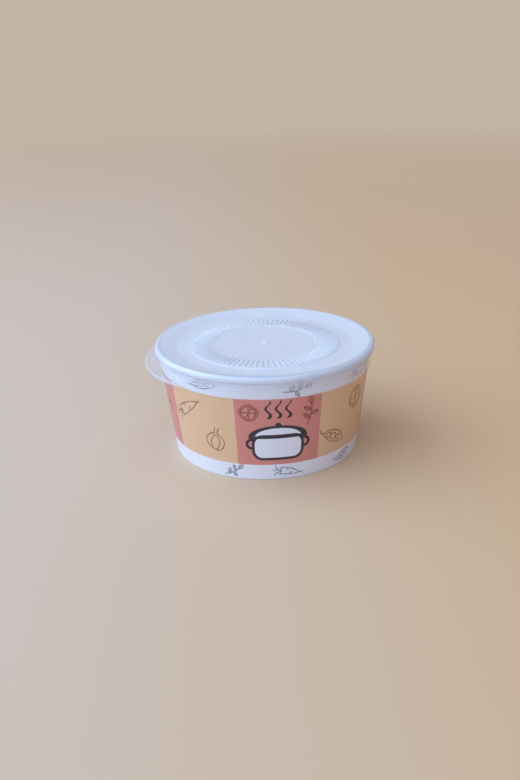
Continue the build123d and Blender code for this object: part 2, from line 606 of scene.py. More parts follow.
@dataclass(frozen=True)
class PrintedPlastic:
    """White moulded polypropylene, its wall printed with colour panels and line drawings."""

    white: Colour = (0.73, 0.77, 0.94)
    white_cloud: Colour = (0.78, 0.82, 0.96)
    yellow: Colour = (0.69, 0.465, 0.315)
    pink: Colour = (0.60, 0.235, 0.225)
    ink_on_white: Colour = (0.16, 0.17, 0.28)
    ink_on_yellow: Colour = (0.16, 0.065, 0.035)
    ink_on_pink: Colour = (0.20, 0.045, 0.045)
    icon_ink: Colour = (0.035, 0.028, 0.05)
    first_panel: float = 235.25
    repeat: float = 180.0
    yellow_width: float = 43.0
    panel_pair: float = 90.0
    field_bottom: float = 8.4
    field_top: float = 43.7
    print_radius: float = 50.0
    pen_width: float = 0.56
    pen_wobble: float = 0.7
    pen_wobble_size: float = 5.0
    pen_wobble_detail: float = 1.0
    pen_least: float = 0.55
    pen_spread: float = 0.6
    edge: float = 0.12
    mottle_size: float = 3.0
    mottle_detail: float = 4.0
    cloud_share: float = 0.3
    ripple_size: float = 9.0
    ripple_detail: float = 1.0
    grain_size: float = 0.35
    grain_detail: float = 3.0
    grain_share: float = 0.2
    bump_strength: float = 0.12
    bump_depth: float = 0.2
    roughness: float = 0.34
    grain_roughness: float = 0.1
    field_gloss: float = 0.05
    refraction: float = 1.49
    stamps: tuple[Stamp, ...] = (
        Stamp(Motif.CARROT, 12.0, 33.5, 35.0),
        Stamp(Motif.GARLIC, 30.0, 19.0, -12.0),
        Stamp(Motif.SLICE, 50.5, 36.5, 10.0, 0.75),
        Stamp(Motif.SPRIG, 83.0, 35.5, 66.0, 0.75),
        Stamp(Motif.POD, 101.0, 17.5, -25.0),
        Stamp(Motif.SLICE, 118.0, 34.0, 25.0),
        Stamp(Motif.SPRIG, 142.0, 18.0, -20.0),
        Stamp(Motif.CARROT, 163.0, 33.0, 150.0),
        Stamp(Motif.POD, 26.0, 48.3, 8.0, 0.8),
        Stamp(Motif.SPRIG, 76.0, 48.0, -6.0, 0.7),
        Stamp(Motif.CARROT, 120.0, 48.2, 5.0, 0.8),
        Stamp(Motif.POD, 160.0, 48.2, -8.0, 0.8),
        Stamp(Motif.SPRIG, 40.0, 4.4, 12.0, 0.6),
        Stamp(Motif.CARROT, 72.0, 4.2, -8.0, 0.7),
        Stamp(Motif.POD, 112.0, 4.3, 10.0, 0.75),
        Stamp(Motif.SPRIG, 152.0, 4.3, 0.0, 0.6),
    )
    icon: PotIcon = PotIcon()

    @property
    def unit(self) -> float:
        """Length along the print of one degree round the bowl."""
        return math.radians(self.print_radius)

    def material(self, wall_middle: Callable[[Value], Value]) -> bpy.types.Material:
        """Makes the finish.

        Args:
            wall_middle: gives the radius of the middle of the bowl's wall at a height, both in millimetres.

        Returns:
            The material.
        """
        graph = Graph.of_material("printed_bowl_plastic")
        x, y, height = graph.millimetres()
        radius = graph.reach(x, y)
        outside = (radius - wall_middle(height)).rise(0.0, self.edge)

        turn = graph.math("ARCTAN2", y, x) * math.degrees(1.0) - self.first_panel
        along = turn % self.repeat
        in_pair = along % self.panel_pair
        soft = self.edge / self.unit
        pink_start = in_pair.rise(self.yellow_width - soft, self.yellow_width + soft)
        pink_panel = pink_start & in_pair.rise(self.panel_pair, self.panel_pair - soft)
        low_edge = height.rise(self.field_bottom - self.edge, self.field_bottom + self.edge)
        high_edge = height.rise(self.field_top + self.edge, self.field_top - self.edge)
        field = low_edge & high_edge & outside

        mottle = graph.clouds(self.mottle_size, self.mottle_detail)
        panel = graph.mix(pink_panel, self.yellow, self.pink)
        plain = graph.mix(mottle * self.cloud_share, self.white, self.white_cloud)
        ground = graph.mix(field, plain, panel)
        panel_ink = graph.mix(pink_panel, self.ink_on_yellow, self.ink_on_pink)
        pen_colour = graph.mix(field, self.ink_on_white, panel_ink)
        pen = self.pen_mask(graph, along * self.unit, height) & outside
        drawn = graph.mix(pen * (self.pen_least + self.pen_spread * mottle).held(), ground, pen_colour)

        ink, inside = self.icon.masks(graph, (along - self.icon.along) * self.unit, height)
        filled = graph.mix(inside & outside, drawn, self.white)
        colour = graph.mix(ink & outside, filled, self.icon_ink)

        ripple = graph.clouds(self.ripple_size, self.ripple_detail)
        grain = graph.clouds(self.grain_size, self.grain_detail)
        relief = ripple * (1.0 - self.grain_share) + grain * self.grain_share
        bump = graph.bump(relief, self.bump_strength, self.bump_depth)
        sockets = {
            "Base Color": colour,
            "Roughness": self.roughness + self.grain_roughness * grain - self.field_gloss * field,
            "Normal": bump,
            "IOR": self.refraction,
        }
        return graph.finish(graph.shader(sockets))

    def pen_mask(self, graph: Graph, along: Value, height: Value) -> Value:
        """Where the line drawings' ink lies, with the slight wobble of a pen.

        Args:
            graph: the material's graph.
            along: the place along the print, in millimetres.
            height: the height, in millimetres.

        Returns:
            The mask.
        """
        noise = graph.noise(self.pen_wobble_size, self.pen_wobble_detail)
        shift = graph.vector("SUBTRACT", noise.outputs["Color"], (NOISE_MIDDLE,) * 3)
        sway = graph.vector("SCALE", shift, scale=2 * self.pen_wobble)
        moved = graph.vector("ADD", graph.flat(along, height), sway)
        spot = graph.vector("MULTIPLY", moved, (1.0, 1.0, 0.0))
        nearest: Value | None = None
        for stamp in self.stamps:
            for stroke in stamp.strokes(self.unit):
                distance = stroke.distance(graph, spot)
                nearest = distance if nearest is None else nearest & distance
        half = self.pen_width / 2
        return nearest.rise(half + self.edge, half - self.edge)


@dataclass(frozen=True)
class ClearPlastic:
    """Natural polypropylene, milky where light crosses the panel and clear on the thin skirt and tab."""

    tint: Colour = (0.69, 0.79, 0.99)
    cloud_tint: Colour = (0.74, 0.82, 0.98)
    # Painted highlight: the gate is pure white and fully opaque, standing in for the glint on its small dome.
    gate_painted_highlight: Colour = (1.0, 1.0, 1.0)
    panel_haze: float = 0.86
    crest_haze: float = 0.62
    skirt_haze: float = 0.035
    # Ridge, lip and tab edge: milkier than the thin skirt and tab because the plastic is thicker there, and
    # raised further as painted highlight lines.
    ridge_milk_and_highlight: float = 0.08
    tab_haze: float = 0.23
    tab_edge_milk_and_highlight: float = 0.45
    cloud: float = 0.04
    patch_size: float = 14.0
    grain_size: float = 0.4
    grain_share: float = 0.2
    bump_strength: float = 0.04
    bump_depth: float = 0.2
    gloss_tint: Colour = (0.95, 0.97, 1.0)
    roughness: float = 0.28
    grain_roughness: float = 0.1
    refraction: float = 1.49
    face_gloss: float = 0.035
    edge_gloss: float = 0.32
    gloss_power: float = 5.0
    blend: float = 0.5
    seam: float = 0.1
    relief_softness: float = 1.0

    def material(self, lid: "Lid") -> bpy.types.Material:
        """Makes the finish.

        Args:
            lid: the lid, whose sizes say where its parts lie.

        Returns:
            The material.
        """
        graph = Graph.of_material("clear_lid_plastic")
        x, y, height = graph.millimetres()
        radius = graph.reach(x, y)
        patches = graph.clouds(self.patch_size)
        grain = graph.clouds(self.grain_size)

        on_gate = radius.rise(lid.gate_radius + self.seam, lid.gate_radius - self.seam)
        on_panel = radius.rise(lid.crest_inside, lid.crest_inside - self.blend)
        on_crest = height.rise(lid.step_height - self.blend, lid.step_height + self.blend)
        on_tab = radius.rise(lid.lip_radius + self.seam, lid.lip_radius + self.blend)
        on_ridge = abs(height - lid.ridge_height).rise(lid.ridge_width / 2, lid.ridge_width / 4)
        on_lip = height.rise(lid.lip_top + self.seam, lid.lip_top - self.seam)
        on_tab_edge = height.rise(lid.tab_top + self.seam, lid.tab_top + 2 * self.seam)

        # Painted highlight: the ridge, the lip and the tab's edge are made more opaque all round so that they
        # show as light lines; the thicker plastic there is also milkier.
        skirt = (on_ridge | on_lip).swing(self.skirt_haze, self.ridge_milk_and_highlight)
        tab = on_tab_edge.swing(self.tab_haze, self.tab_edge_milk_and_highlight)
        rim = on_crest.swing(on_tab.swing(skirt, tab), self.crest_haze)
        # Painted highlight: the gate is made fully opaque here and pure white below, standing in for its
        # glint.
        haze = on_gate.swing(on_panel.swing(rim, self.panel_haze), 1.0)
        clear = haze + (patches - NOISE_MIDDLE) * self.cloud
        tint = graph.mix(on_gate, graph.mix(patches, self.tint, self.cloud_tint), self.gate_painted_highlight)
        ripple = patches * (1.0 - self.grain_share) + grain * self.grain_share
        bump = graph.bump(ripple, self.bump_strength, self.bump_depth)
        normal = self.softened(graph, bump, on_panel)
        sockets = {
            "Base Color": tint,
            "Roughness": self.roughness + self.grain_roughness * grain,
            "Alpha": clear.held(),
            "Normal": normal,
            "IOR": self.refraction,
        }
        film = graph.shader(sockets)
        mirror = {"Metallic": 1.0, "Roughness": self.roughness, "Normal": normal}
        gloss = graph.shader({"Base Color": (*self.gloss_tint, 1.0), **mirror})
        weight = graph.node("ShaderNodeLayerWeight", {}, {"Normal": normal})
        edge_on = Value(graph, weight.outputs["Facing"]) ** self.gloss_power
        share = edge_on * (self.edge_gloss - self.face_gloss) + self.face_gloss
        surface = graph.node("ShaderNodeMixShader", {}, {0: share, 1: film, 2: gloss})
        return graph.finish(surface.outputs[0])

    def softened(self, graph: Graph, normal: bpy.types.NodeSocket, on_panel: Value) -> bpy.types.NodeSocket:
        """Leans the panel's normals along the axis, as light scattered in the plastic softens its relief.

        Args:
            graph: the material's graph.
            normal: the normal before.
            on_panel: where the panel is.

        Returns:
            The normal after.
        """
        geometry = graph.node("ShaderNodeNewGeometry", {}, {})
        parts = graph.node("ShaderNodeSeparateXYZ", {}, {0: geometry.outputs["Normal"]})
        side = graph.math("SIGN", Value(graph, parts.outputs[2]))
        pull = side * on_panel * self.relief_softness
        axis = graph.node("ShaderNodeCombineXYZ", {}, {2: pull}).outputs[0]
        return graph.vector("NORMALIZE", graph.vector("ADD", normal, axis))


@dataclass(frozen=True)
class PaleFloor:
    """A plain pale floor with painted light and shade: cool on the key light's side, warmer and darker on the
    far side where the shade falls; it runs out into the backdrop.
    """

    backdrop: Colour
    # cool is painted cool light on the key light's side; warm is painted warm shade on the far side.
    cool: Colour = (0.61, 0.51, 0.44)
    warm: Colour = (0.63, 0.45, 0.285)
    mottle: float = 0.04
    patch_size: float = 60.0
    painted_shade_azimuth: float = 25.0
    painted_shade_start: float = -120.0
    painted_shade_end: float = 110.0
    fade_start: float = 250.0
    fade_end: float = 1500.0
    roughness: float = 0.7
    half_width: float = 12000.0

    def build(self) -> bpy.types.Object:
        """Lays the floor under the object.

        Returns:
            The floor.
        """
        Bench.put_down()
        bpy.ops.mesh.primitive_plane_add(size=2 * self.half_width * MM, location=(0.0, 0.0, CAD_LOW.z))
        floor = bpy.context.object
        floor.name = "floor"
        floor.data.materials.append(self.material())
        return floor

    def material(self) -> bpy.types.Material:
        """Makes the finish.

        Returns:
            The material.
        """
        graph = Graph.of_material("pale_floor")
        x, y = graph.millimetres()[:2]
        # Painted light and shade: the colour runs from cool on the key light's side to warm and darker on the
        # far side.
        turn = math.radians(self.painted_shade_azimuth)
        across = x * math.cos(turn) + y * math.sin(turn)
        patches = graph.clouds(self.patch_size)
        share = across.rise(self.painted_shade_start, self.painted_shade_end) + (patches - NOISE_MIDDLE) * self.mottle
        colour = graph.mix(share.held(), self.cool, self.warm)
        lit = graph.shader({"Base Color": colour, "Roughness": self.roughness})
        plain = graph.node("ShaderNodeEmission", {}, {"Color": (*self.backdrop, 1.0)})
        reach = graph.reach(x, y)
        far = reach.rise(self.fade_start, self.fade_end) & graph.seen()
        surface = graph.node("ShaderNodeMixShader", {}, {0: far, 1: lit, 2: plain.outputs[0]})
        return graph.finish(surface.outputs[0])


@dataclass(frozen=True)
class Corner:
    """A corner of a turned section, with its radius from the axis, its height and its rounding."""

    radius: float
    height: float
    rounding: float = 0.0

    @property
    def place(self) -> Vector:
        """The corner in the section's plane, in metres."""
        return Vector((self.radius, 0.0, self.height)) * MM


class Bench:
    """Modelling steps that the pieces share, each done as by hand."""

    @staticmethod
    def put_down() -> None:
        """Leaves edit mode and deselects everything."""
        if bpy.context.mode != "OBJECT":
            bpy.ops.object.mode_set(mode="OBJECT")
        bpy.ops.object.select_all(action="DESELECT")

    @staticmethod
    def take(piece: bpy.types.Object) -> None:
        """Makes one object the only one selected, and active."""
        Bench.put_down()
        piece.select_set(True)
        bpy.context.view_layer.objects.active = piece

    @staticmethod
    def pick(kind: str, test: Callable[[Vector], bool]) -> None:
        """Selects, in edit mode, what lies where a test says.

        Args:
            kind: "VERT", "EDGE" or "FACE".
            test: says whether a thing with that middle, in metres, is selected.
        """
        bpy.ops.mesh.select_mode(type=kind)
        bpy.ops.mesh.select_all(action="DESELECT")
        data = bpy.context.object.data
        mesh = bmesh.from_edit_mesh(data)
        if kind == "VERT":
            things = [(vertex, vertex.co) for vertex in mesh.verts]
        elif kind == "EDGE":
            things = [(edge, (edge.verts[0].co + edge.verts[1].co) / 2) for edge in mesh.edges]
        else:
            things = [(face, face.calc_center_median()) for face in mesh.faces]
        for thing, middle in things:
            if test(middle):
                thing.select_set(True)
        mesh.select_flush_mode()
        bmesh.update_edit_mesh(data)

    @staticmethod
    def wire(name: str, points: Sequence[Vector]) -> bpy.types.Object:
        """Draws a wire through points, from one vertex extruded step by step, and stays in edit mode.

        Args:
            name: the object's name.
            points: the wire's points, in metres.

        Returns:
            The object.
        """
        Bench.put_down()
        bpy.ops.mesh.primitive_plane_add(size=MM, location=(0.0, 0.0, 0.0))
        made = bpy.context.object
        made.name = name
        bpy.ops.object.mode_set(mode="EDIT")
        bpy.ops.mesh.select_mode(type="VERT")
        bpy.ops.mesh.select_all(action="SELECT")
        bpy.ops.mesh.merge(type="CENTER")
        bpy.ops.transform.translate(value=points[0])
        for start, end in zip(points, points[1:]):
            bpy.ops.mesh.extrude_vertices_move(TRANSFORM_OT_translate={"value": end - start})
        return made

    @staticmethod
    def turned(name: str, corners: Sequence[Corner]) -> bpy.types.Object:
        """Turns a section into a closed shell: draws it, rounds its corners and spins it round the axis.

        Args:
            name: the object's name.
            corners: the section, from the axis round to the axis again.

        Returns:
            The shell, in object mode.
        """
        made = Bench.wire(name, [corner.place for corner in corners])
        for before, corner, after in zip(corners, corners[1:], corners[2:]):
            if corner.rounding > 0:
                way_in = (corner.place - before.place).normalized()
                way_out = (after.place - corner.place).normalized()
                offset = corner.rounding * MM * math.tan(way_in.angle(way_out) / 2)
                Bench.pick("VERT", lambda spot: (spot - corner.place).length < MERGE_DISTANCE)
                bpy.ops.mesh.bevel(offset=offset, segments=CORNER_STEPS, affect="VERTICES")
        bpy.ops.mesh.select_all(action="SELECT")
        bpy.ops.mesh.spin(steps=ROUND_STEPS, angle=math.tau, center=(0.0, 0.0, 0.0), axis=(0.0, 0.0, 1.0))
        Bench.close_up()
        return made

    @staticmethod
    def close_up() -> None:
        """Merges doubled vertices, points the faces outwards and leaves edit mode."""
        bpy.ops.mesh.select_all(action="SELECT")
        bpy.ops.mesh.remove_doubles(threshold=MERGE_DISTANCE)
        bpy.ops.mesh.normals_make_consistent(inside=False)
        bpy.ops.object.mode_set(mode="OBJECT")

    @staticmethod
    def combine(piece: bpy.types.Object, tool: bpy.types.Object, operation: str) -> None:
        """Joins a solid to a piece, or cuts it from the piece, and removes the solid.

        Args:
            piece: the piece that is changed.
            tool: the solid.
            operation: "UNION" or "DIFFERENCE".
        """
        Bench.take(piece)
        bpy.ops.object.modifier_add(type="BOOLEAN")
        modifier = piece.modifiers[-1]
        modifier.operation = operation
        modifier.solver = "EXACT"
        modifier.object = tool
        bpy.ops.object.modifier_apply(modifier=modifier.name)
        bpy.data.objects.remove(tool)

    @staticmethod
    def dress(piece: bpy.types.Object, material: bpy.types.Material, body: Body, slot: Slot) -> None:
        """Smooths a finished piece, gives it its material and lets it stand for its CAD node.

        Args:
            piece: the piece.
            material: its finish.
            body: the CAD body that it rides on, and the node that it stands for.
            slot: the record's material slot; not used.
        """
        Bench.take(piece)
        bpy.ops.object.shade_smooth_by_angle(angle=math.radians(SMOOTH_ANGLE))
        piece.data.materials.clear()
        piece.data.materials.append(material)
        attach(piece, body.value)
        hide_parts(body.value)
        LOG.info("%s: %d faces", piece.name, len(piece.data.polygons))


@dataclass(frozen=True)
class Bowl:
    """The bowl: a tapered wall on a foot ring, a stepped base and a bead round the rim."""

    height: float
    bead_radius: float
    foot_radius: float = 46.5
    wall: float = 0.7
    base_thickness: float = 0.8
    base_corner: float = 4.0
    foot_ring_width: float = 1.6
    foot_ring_rounding: float = 0.5
    foot_depth: float = 1.6
    base_panel_radius: float = 31.0
    base_panel_lift: float = 0.5
    base_step_rounding: float = 0.3
    gate_radius: float = 1.6
    gate_height: float = 0.4
    gate_rounding: float = 0.15
    bead_overhang: float = 0.6
    bead_height: float = 1.1
    bead_rounding: float = 0.78
    bead_underside_rounding: float = 0.2
    rim_inner_rounding: float = 0.156
    finish: PrintedPlastic = PrintedPlastic()

    @property
    def lean(self) -> float:
        """How far the wall leans out for each millimetre of height."""
        return (self.bead_radius - self.bead_overhang - self.foot_radius) / self.height

    def outside(self, height: float) -> float:
        """Radius of the wall's outside at a height."""
        return self.foot_radius + self.lean * height

    def inside(self, height: float) -> float:
        """Radius of the wall's inside at a height."""
        return self.outside(height) - self.wall

    @property
    def bead_bottom(self) -> float:
        """Height of the bead's underside."""
        return self.height - self.bead_height

    def section(self) -> list[Corner]:
        """The bowl's section, from under the middle of the base, up the outside and down the inside.

        Returns:
            Its corners.
        """
        floor = self.foot_depth + self.base_thickness
        underside = self.foot_depth + self.base_panel_lift
        step_radius = self.base_panel_radius + self.base_panel_lift
        ring_inside = self.foot_radius - self.foot_ring_width
        gate_bottom = underside - self.gate_height
        return [
            Corner(0.0, gate_bottom),
            Corner(self.gate_radius, gate_bottom, self.gate_rounding),
            Corner(self.gate_radius, underside),
            Corner(self.base_panel_radius, underside, self.base_step_rounding),
            Corner(step_radius, self.foot_depth, self.base_step_rounding),
            Corner(ring_inside, self.foot_depth, self.foot_ring_rounding),
            Corner(ring_inside, 0.0),
            Corner(self.foot_radius, 0.0, self.foot_ring_rounding),
            Corner(self.outside(self.bead_bottom), self.bead_bottom, self.bead_underside_rounding),
            Corner(self.bead_radius, self.bead_bottom, self.bead_underside_rounding),
            Corner(self.bead_radius, self.height, self.bead_rounding),
            Corner(self.inside(self.height), self.height, self.rim_inner_rounding),
            Corner(self.inside(floor), floor, self.base_corner),
            Corner(step_radius, floor, self.base_step_rounding),
            Corner(self.base_panel_radius, floor + self.base_panel_lift, self.base_step_rounding),
            Corner(0.0, floor + self.base_panel_lift),
        ]

    def build(self) -> bpy.types.Object:
        """Makes the bowl and dresses it.

        Returns:
            The finished piece.
        """
        shell = Bench.turned("bowl_shell", self.section())
        middle_of_foot = self.foot_radius - self.wall / 2
        material = self.finish.material(lambda height: height * self.lean + middle_of_foot)
        Bench.dress(shell, material, Body.BOWL, Slot.BOWL)
        return shell


@dataclass(frozen=True)
class Tab:
    """The crescent thumb tab along -X: a plate with a thicker edge and two grip studs."""

    lip_radius: float
    seat_radius: float
    bottom: float
    projection: float = 8.7
    tip_radius_share: float = 0.94
    thickness: float = 0.7
    root_rounding: float = 14.0
    edge_width: float = 1.0
    edge_rise: float = 0.35
    edge_rounding: float = 0.12
    stud_radius: float = 0.9
    stud_height: float = 0.4
    stud_rounding: float = 0.25
    stud_place_share: float = 0.37
    stud_turn_share: float = 0.32
    arc_steps: int = 48
    stud_steps: int = 24

    @property
    def tip_radius(self) -> float:
        """Radius of the tip's arc."""
        return self.tip_radius_share * self.lip_radius

    @property
    def tip_offset(self) -> float:
        """How far the tip arc's centre lies from the bowl's axis."""
        return self.lip_radius + self.projection - self.tip_radius

    @property
    def root_angle(self) -> float:
        """Angle at the axis, in radians, from the tab's middle to where a sweep runs into the lip."""
        reach = self.lip_radius + self.root_rounding
        span = self.tip_radius + self.root_rounding
        return math.acos((reach**2 + self.tip_offset**2 - span**2) / (2 * self.tip_offset * reach))

    def arc(self, centre: Vector, radius: float, start: float, end: float) -> list[Vector]:
        """Points along an arc.

        Args:
            centre: the arc's centre.
            radius: its radius.
            start: the angle where it starts, in radians.
            end: the angle where it ends, in radians.

        Returns:
            The points, in the plane of the tab's underside.
        """
        angles = [start + (end - start) * step / self.arc_steps for step in range(self.arc_steps + 1)]
        return [centre + Vector((math.cos(angle), math.sin(angle), 0.0)) * radius for angle in angles]

    def outline(self) -> list[Vector]:
        """The tab's outline in metres: a sweep, the tip, the other sweep, and back inside the lip.

        Returns:
            Its points.
        """
        level = Vector((0.0, 0.0, self.bottom))
        tip_centre = Vector((-self.tip_offset, 0.0, self.bottom))
        reach = self.lip_radius + self.root_rounding
        turn = math.pi - self.root_angle
        root_centre = level + Vector((math.cos(turn), math.sin(turn), 0.0)) * reach
        to_root = root_centre - tip_centre
        tip_turn = math.atan2(to_root.y, to_root.x)
        sweep = self.arc(root_centre, self.root_rounding, turn - math.pi, tip_turn - math.pi)
        tip = self.arc(tip_centre, self.tip_radius, tip_turn, math.tau - tip_turn)
        other_sweep = [Vector((point.x, -point.y, point.z)) for point in reversed(sweep)]
        seat = self.arc(level, self.seat_radius, math.tau - turn, turn)
        return [point * MM for point in sweep + tip[1:-1] + other_sweep + seat]

    def studs(self) -> list[bpy.types.Object]:
        """Makes the two grip studs.

        Returns:
            Two short round solids that stand in the tab's plate.
        """
        circle = self.lip_radius + self.stud_place_share * self.projection
        height = self.stud_height + self.thickness / 2
        top = self.bottom + self.thickness + self.stud_height
        made = []
        for side in (-1, 1):
            turn = math.pi + side * self.stud_turn_share * self.root_angle
            place = Vector((math.cos(turn) * circle, math.sin(turn) * circle, top - height / 2)) * MM
            Bench.put_down()
            bpy.ops.mesh.primitive_cylinder_add(
                vertices=self.stud_steps, radius=self.stud_radius * MM, depth=height * MM, location=place
            )
            bpy.ops.object.transform_apply(location=True)
            bpy.ops.object.mode_set(mode="EDIT")
            Bench.pick("FACE", lambda spot: spot.z > top * MM - MERGE_DISTANCE)
            bpy.ops.mesh.bevel(offset=self.stud_rounding * MM, segments=CORNER_STEPS, affect="EDGES")
            bpy.ops.object.mode_set(mode="OBJECT")
            made.append(bpy.context.object)
        return made

    def build(self) -> bpy.types.Object:
        """Makes the tab as one solid.

        Returns:
            The solid, in object mode.
        """
        plate = Bench.wire("tab", self.outline())
        full_height = (self.thickness + self.edge_rise) * MM
        bpy.ops.mesh.select_all(action="SELECT")
        bpy.ops.mesh.edge_face_add()
        bpy.ops.mesh.select_all(action="SELECT")
        bpy.ops.mesh.extrude_region_move(TRANSFORM_OT_translate={"value": (0.0, 0.0, full_height)})
        Bench.close_up()

        Bench.put_down()
        recess_floor = self.bottom + self.thickness
        bpy.ops.mesh.primitive_cylinder_add(
            vertices=ROUND_STEPS,
            radius=(self.tip_radius - self.edge_width) * MM,
            depth=2 * self.thickness * MM,
            location=Vector((-self.tip_offset, 0.0, recess_floor + self.thickness)) * MM,
        )
        Bench.combine(plate, bpy.context.object, "DIFFERENCE")
        bpy.ops.object.modifier_add(type="BEVEL")
        bevel = plate.modifiers[-1]
        bevel.width = self.edge_rounding * MM
        bevel.segments = EDGE_STEPS
        bpy.ops.object.modifier_apply(modifier=bevel.name)
        for stud in self.studs():
            Bench.combine(plate, stud, "UNION")
        return plate


@dataclass(frozen=True)
class Ribs:
    """Fine radial ribs on the lid's raised ring."""

    start: float
    end: float
    floor: float
    sink: float
    count: int = 80
    width: float = 0.8
    height: float = 0.3
    rounding: float = 0.15
    round_steps: int = 16

    def build(self) -> bpy.types.Object:
        """Models one rib from a short cylinder, drawn out along the radius, and copies it round the axis.

        Returns:
            All the ribs as one object of separate solids.
        """
        depth = self.height + self.sink
        middle = Vector(((self.start + self.end) / 2, 0.0, self.floor + self.height - depth / 2)) * MM
        Bench.put_down()
        bpy.ops.mesh.primitive_cylinder_add(
            vertices=self.round_steps, radius=self.width / 2 * MM, depth=depth * MM, location=middle
        )
        ribs = bpy.context.object
        ribs.name = "ribs"
        bpy.ops.object.transform_apply(location=True)
        bpy.ops.object.mode_set(mode="EDIT")
        half_run = (self.end - self.start - self.width) / 2 * MM
        for side in (-1, 1):
            Bench.pick("VERT", lambda spot: (spot.x - middle.x) * side > MERGE_DISTANCE)
            bpy.ops.transform.translate(value=(side * half_run, 0.0, 0.0))
        top = (self.floor + self.height) * MM
        Bench.pick("FACE", lambda spot: spot.z > top - MERGE_DISTANCE)
        bpy.ops.mesh.bevel(offset=self.rounding * MM, segments=EDGE_STEPS, affect="EDGES")
        bpy.ops.mesh.select_all(action="SELECT")
        pitch = math.tau / self.count
        copies = self.count - 1
        bpy.ops.mesh.spin(
            steps=copies, dupli=True, angle=copies * pitch, center=(0.0, 0.0, 0.0), axis=(0.0, 0.0, 1.0)
        )
        bpy.ops.object.mode_set(mode="OBJECT")
        return ribs


@dataclass(frozen=True)
class Lid:
    """The lid: a sunk panel with a ribbed ring, a crest over the bowl's rim, a skirt and a thumb tab."""

    bowl: Bowl
    wall: float = 0.6
    fit_gap: float = 0.3
    rim_side_gap: float = 0.5
    rim_top_gap: float = 0.3
    panel_depth: float = 2.3
    ring_lift: float = 0.5
    disc_drop: float = 0.4
    disc_radius: float = 25.5
    ring_radius: float = 38.0
    shoulder_place_share: float = 0.42
    shoulder_foot_rounding: float = 2.0
    level_change: float = 0.7
    level_rounding: float = 0.35
    gate_radius: float = 0.9
    gate_height: float = 0.3
    gate_rounding: float = 0.28
    rib_inner_margin: float = 1.4
    rib_outer_margin: float = 0.9
    crest_inner_share: float = 0.4
    crest_outer_share: float = 0.7
    step_outer_rounding: float = 0.3
    step_inner_rounding: float = 0.25
    skirt_depth: float = 8.6
    ridge_depth: float = 4.1
    ridge_rise: float = 0.25
    ridge_width: float = 1.0
    ridge_rounding: float = 0.4
    lip_height: float = 1.2
    lip_overhang: float = 0.4
    lip_rounding: float = 0.25
    joining_overlap: float = 0.3
    finish: ClearPlastic = ClearPlastic()

    @property
    def crest_height(self) -> float:
        """Height of the rim's crest."""
        return self.bowl.height + self.rim_top_gap + self.wall

    @property
    def outer_radius(self) -> float:
        """Radius of the rim's outside."""
        return self.bowl.bead_radius + self.rim_side_gap + self.wall

    @property
    def panel_height(self) -> float:
        """Height of the panel's outer annulus."""
        return self.crest_height - self.panel_depth

    @property
    def ring_height(self) -> float:
        """Height of the raised ring."""
        return self.panel_height + self.ring_lift

    @property
    def crest_inside(self) -> float:
        """Radius where the panel's shoulder meets the crest."""
        return self.bowl.inside(self.bowl.height) - self.fit_gap

    @property
    def crest_width(self) -> float:
        """Width of the crest."""
        return self.outer_radius - self.crest_inside

    @property
    def shoulder_radius(self) -> float:
        """Radius where the panel starts to slope up to the crest."""
        return self.ring_radius + self.shoulder_place_share * (self.crest_inside - self.ring_radius)

    @property
    def shoulder_shift(self) -> float:
        """How much further out the shoulder's corners lie on the underside, so that its wall is even."""
        slope = math.atan2(self.panel_depth, self.crest_inside - self.shoulder_radius)
        return self.wall * math.tan(slope / 2)

    @property
    def shelf_height(self) -> float:
        """Height of the shelf inside the lid that catches under the bead."""
        return self.bowl.bead_bottom - self.fit_gap

    @property
    def step_height(self) -> float:
        """Height of the step on the outside, under the rim."""
        return self.shelf_height - self.wall

    @property
    def skirt_bottom(self) -> float:
        """Height of the skirt's lower edge."""
        return self.step_height - self.skirt_depth

    @property
    def ridge_height(self) -> float:
        """Height of the skirt's stiffening ridge."""
        return self.step_height - self.ridge_depth

    @property
    def lip_top(self) -> float:
        """Height of the lip's upper side."""
        return self.skirt_bottom + self.lip_height

    @property
    def tab_top(self) -> float:
        """Height of the tab's plate."""
        return self.skirt_bottom + self.tab().thickness

    def skirt_radius(self, height: float) -> float:
        """Radius of the skirt's outside at a height."""
        return self.bowl.outside(height) + self.fit_gap + self.wall

    @property
    def lip_radius(self) -> float:
        """Radius of the lip round the skirt's lower edge."""
        return self.skirt_radius(self.skirt_bottom) + self.lip_overhang

    def outer_side(self) -> list[Corner]:
        """The upper and outer side of the section, from the middle of the panel to the skirt's lower edge.

        Returns:
            Its corners.
        """
        disc = self.ring_height - self.disc_drop
        gate_top = disc + self.gate_height
        ridge_top = self.ridge_height + self.ridge_width / 2
        ridge_bottom = self.ridge_height - self.ridge_width / 2
        ridge_radius = self.skirt_radius(self.ridge_height) + self.ridge_rise
        return [
            Corner(0.0, gate_top),
            Corner(self.gate_radius, gate_top, self.gate_rounding),
            Corner(self.gate_radius, disc),
            Corner(self.disc_radius, disc, self.level_rounding),
            Corner(self.disc_radius + self.level_change, self.ring_height, self.level_rounding),
            Corner(self.ring_radius - self.level_change, self.ring_height, self.level_rounding),
            Corner(self.ring_radius, self.panel_height, self.level_rounding),
            Corner(self.shoulder_radius, self.panel_height, self.shoulder_foot_rounding),
            Corner(self.crest_inside, self.crest_height, self.crest_inner_share * self.crest_width),
            Corner(self.outer_radius, self.crest_height, self.crest_outer_share * self.crest_width),
            Corner(self.outer_radius, self.step_height, self.step_outer_rounding),
            Corner(self.skirt_radius(self.step_height), self.step_height, self.step_inner_rounding),
            Corner(self.skirt_radius(ridge_top), ridge_top),
            Corner(ridge_radius, self.ridge_height, self.ridge_rounding),
            Corner(self.skirt_radius(ridge_bottom), ridge_bottom),
            Corner(self.skirt_radius(self.lip_top), self.lip_top),
            Corner(self.lip_radius, self.lip_top, self.lip_rounding),
            Corner(self.lip_radius, self.skirt_bottom, self.lip_rounding),
        ]

